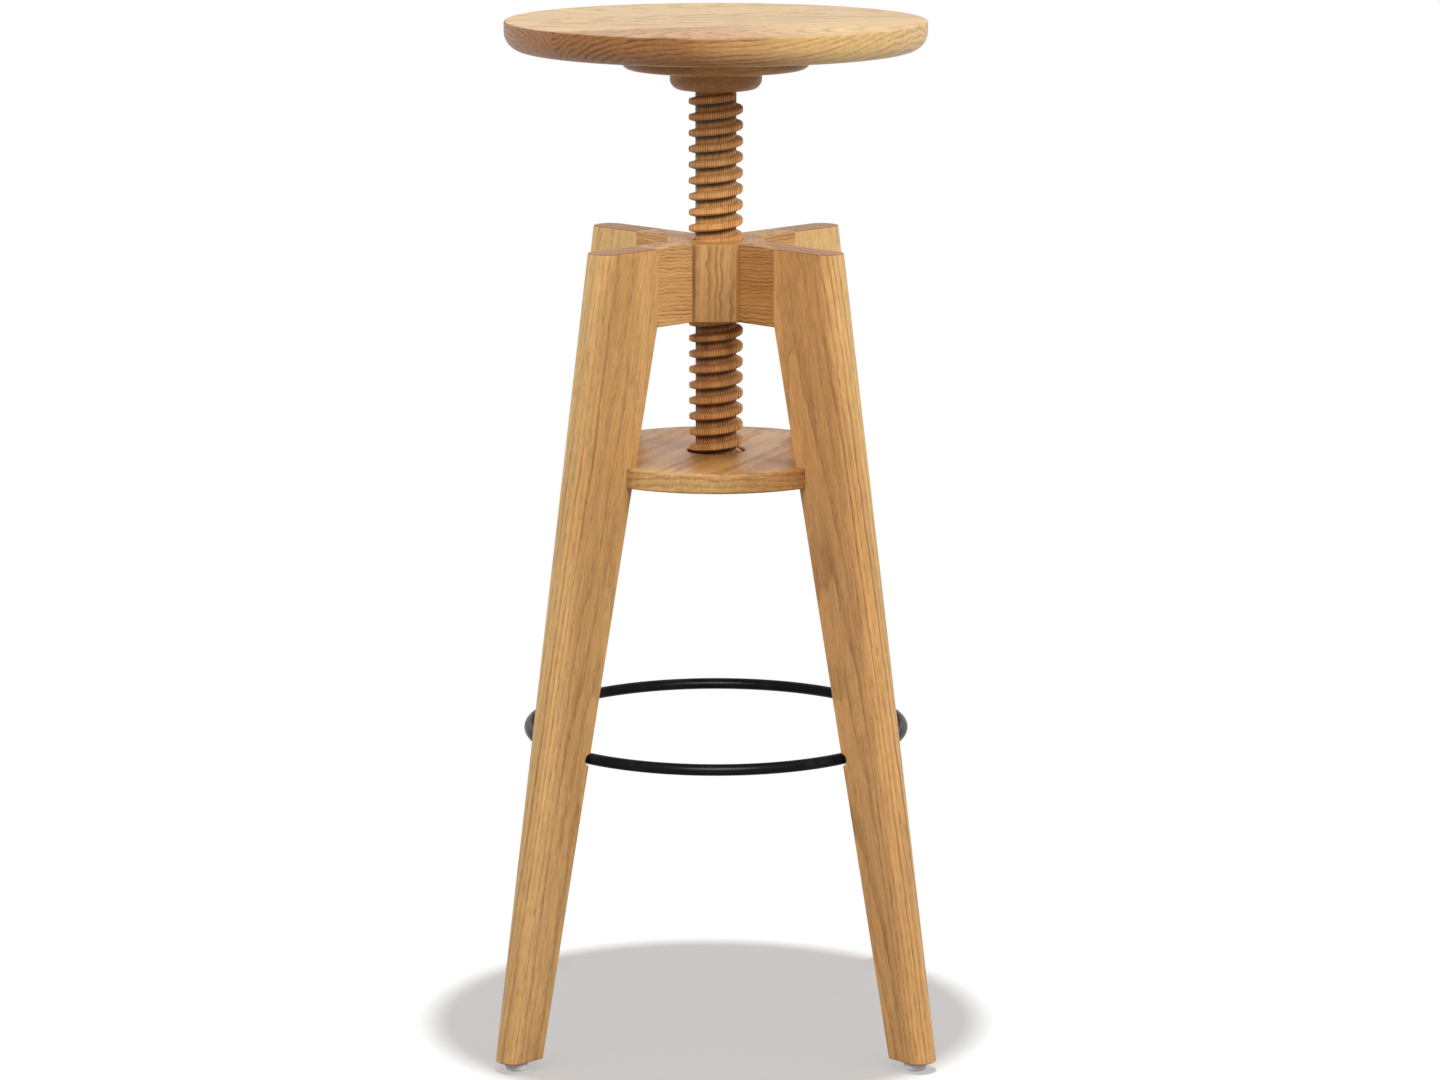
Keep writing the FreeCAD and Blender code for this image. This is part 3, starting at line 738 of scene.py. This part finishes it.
def moulded_plastic():
    finish = new_finish("glide_plastic")
    scuff = finish.noise(place_in_mm(finish), SCUFF_SIZE, NOISE_FINE)
    return finish.surface(
        {
            "Base Color": finish.mix(PLASTIC_GREY, PLASTIC_WHITE, scuff),
            "Roughness": PLASTIC_ROUGHNESS + SCUFF_ROUGHNESS * scuff,
            "Normal": finish.bump(scuff, SCUFF_DEPTH, SCUFF_STRENGTH),
        }
    )


plastic = moulded_plastic()
for corner in CORNERS:
    dress(f"glide_{corner}", plastic)
print("feet dressed:", len(CORNERS))

# %% [markdown]
# Screws, nails, the stop bolt and its washer have a thin zinc plate that is cloudy where the crystals
# differ. Most of them are hidden. The stop under the screw shows when the seat is wound down.

# %% Fasteners
ZINC_DARK = colour(0.50, 0.51, 0.52)
ZINC_LIGHT = colour(0.66, 0.67, 0.68)
CLOUD_SIZE = (3, 3, 3)
ZINC_ROUGHNESS = 0.26
CLOUD_ROUGHNESS = 0.2
FASTENERS = ("stop_washer", "stop_bolt", "plate_screws", "post_screw", "glide_nails")


def zinc_plate():
    finish = new_finish("zinc_steel")
    cloud = finish.noise(place_in_mm(finish), CLOUD_SIZE, NOISE_FINE)
    return finish.surface(
        {
            "Base Color": finish.mix(ZINC_DARK, ZINC_LIGHT, cloud),
            "Metallic": 1.0,
            "Roughness": ZINC_ROUGHNESS + CLOUD_ROUGHNESS * cloud,
        }
    )


zinc = zinc_plate()
for fastener in FASTENERS:
    dress(fastener, zinc)
print("fasteners dressed:", len(FASTENERS))

# %% [markdown]
# The studio is a pale floor that runs into a white surround. The floor is a disc whose colour is plain
# close to the stool, where it takes the shadow, and turns into even white further out. A faint glow keeps
# the shadow pale. What the camera sees is white, while the light that the floor throws back up at the
# stool is kept low, as it is in a large dark room, so that the underside of the seat stays in shade.

# %% Floor
FLOOR_RADIUS = 40
FLOOR_SIDES = 96
FLOOR_SEEN = 0.80
FLOOR_GLOW = 0.36
FLOOR_BOUNCE = 0.50
PLAIN_TO_WHITE = (0.40, 0.95)
WHITE = colour(1, 1, 1)


def floor_disc():
    shape = bmesh.new()
    bmesh.ops.create_circle(shape, cap_ends=True, segments=FLOOR_SIDES, radius=FLOOR_RADIUS)
    mesh = bpy.data.meshes.new("floor")
    shape.to_mesh(mesh)
    shape.free()
    made = bpy.data.objects.new("floor", mesh)
    bpy.context.scene.collection.objects.link(made)
    return made


def ray_is_seen(finish):
    """1 for what the camera sees, straight or in a shiny surface, and 0 for light on its way round."""
    kinds = ("Camera", "Glossy", "Transmission")
    rays = (finish.node("ShaderNodeLightPath", {}, {}, f"Is {kind} Ray") for kind in kinds)
    straight, mirrored, through = rays
    return straight.larger(mirrored).larger(through)


def matt_grey(finish, level):
    return finish.node("ShaderNodeBsdfDiffuse", {}, {"Color": colour(level, level, level)})


def white_glow(finish, strength):
    return finish.node("ShaderNodeEmission", {}, {"Color": WHITE, "Strength": strength})


def mixed_shader(finish, first, second, share):
    sockets = {"Fac": share, "Shader": first, "Shader_001": second}
    return finish.node("ShaderNodeMixShader", {}, sockets)


def floor_finish():
    finish = new_finish("floor")
    length = {"operation": "LENGTH"}
    from_stool = finish.node("ShaderNodeVectorMath", length, {"Vector": finish.place()}, "Value")
    layers = {"Shader": matt_grey(finish, FLOOR_SEEN), "Shader_001": white_glow(finish, FLOOR_GLOW)}
    plain = finish.node("ShaderNodeAddShader", {}, layers)
    seen = mixed_shader(finish, plain, white_glow(finish, 1.0), from_stool.step(*PLAIN_TO_WHITE))
    chosen = mixed_shader(finish, matt_grey(finish, FLOOR_BOUNCE), seen, ray_is_seen(finish))
    finish.node("ShaderNodeOutputMaterial", {}, {"Surface": chosen})
    return finish.owner


floor = floor_disc()
floor.data.materials.append(floor_finish())
print("floor radius:", FLOOR_RADIUS, "m")

# %% [markdown]
# Light comes from a dim surround and three broad lamps: one in front on the right, a weaker one on the
# left, and one behind for the far side. They stand high, so tops are bright and the turned disc under the
# seat lies in its shade. The levels add up so that a surface turned to a lamp shows about the colour that
# its finish was given. A fourth lamp in front gives the black rod its one soft highlight, and a small lamp
# above, a little behind the middle, makes the round shadow of the seat.

# %% Lamps
SURROUND = 0.30
STOOL_MIDDLE = Vector((0, 0, 0.45))
LAMPS = {
    "right": {"azimuth": -40, "elevation": 35, "distance": 3.2, "size": 1.8, "power": 79},
    "left": {"azimuth": -140, "elevation": 35, "distance": 3.2, "size": 1.8, "power": 60},
    "front": {"azimuth": -88, "elevation": 30, "distance": 3.2, "size": 2.0, "power": 260},
    "back": {"azimuth": 90, "elevation": 35, "distance": 3.2, "size": 1.8, "power": 24},
    "overhead": {"azimuth": 67, "elevation": 88.7, "distance": 2.6, "size": 0.09, "power": 53},
}


def surround_light():
    finish = Finish(bpy.data.worlds.new("surround"))
    level = ray_is_seen(finish).step(0.0, 1.0, SURROUND, 1.0)
    light = finish.node("ShaderNodeBackground", {}, {"Color": WHITE, "Strength": level})
    finish.node("ShaderNodeOutputWorld", {}, {"Surface": light})
    return finish.owner


def lamp(name, azimuth, elevation, distance, size, power):
    light = bpy.data.lights.new(name, "AREA")
    light.shape = "DISK"
    light.size = size
    light.energy = power
    rise = math.radians(elevation)
    towards = Vector(flat_direction(azimuth)) * math.cos(rise) + UPRIGHT * math.sin(rise)
    made = bpy.data.objects.new(name, light)
    made.location = STOOL_MIDDLE + towards * distance
    made.rotation_euler = towards.to_track_quat("Z", "Y").to_euler()
    bpy.context.scene.collection.objects.link(made)
    return made


bpy.context.scene.world = surround_light()
lamps = {name: lamp(name, **facts) for name, facts in LAMPS.items()}
bpy.context.scene.view_settings.view_transform = "Standard"
print("lamps:", ", ".join(lamps))

# %% [markdown]
# Light linking says what each lamp shines on. The overhead lamp is kept on the floor, because it would
# bleach the seat. The front lamp is kept on the rod. The broad lamps are kept off the floor, where they
# would lay a second set of shadows. They have no mirror image either, because flat satin tops would throw
# it straight back as glare.

# %% What each lamp lights
BROAD_LAMPS = ("right", "left", "back")


def collection_of(name, objects):
    made = bpy.data.collections.new(name)
    for one in objects:
        made.objects.link(one)
    return made


stool_only = collection_of("stool_only", nodes.values())
lit = {name: stool_only for name in BROAD_LAMPS}
lit["front"] = collection_of("ring_only", [nodes["foot_ring"]])
lit["overhead"] = collection_of("floor_only", [floor])
for name, receivers in lit.items():
    lamps[name].light_linking.receiver_collection = receivers
for name in BROAD_LAMPS:
    lamps[name].visible_glossy = False
print("lamp targets:", {name: receivers.name for name, receivers in lit.items()})
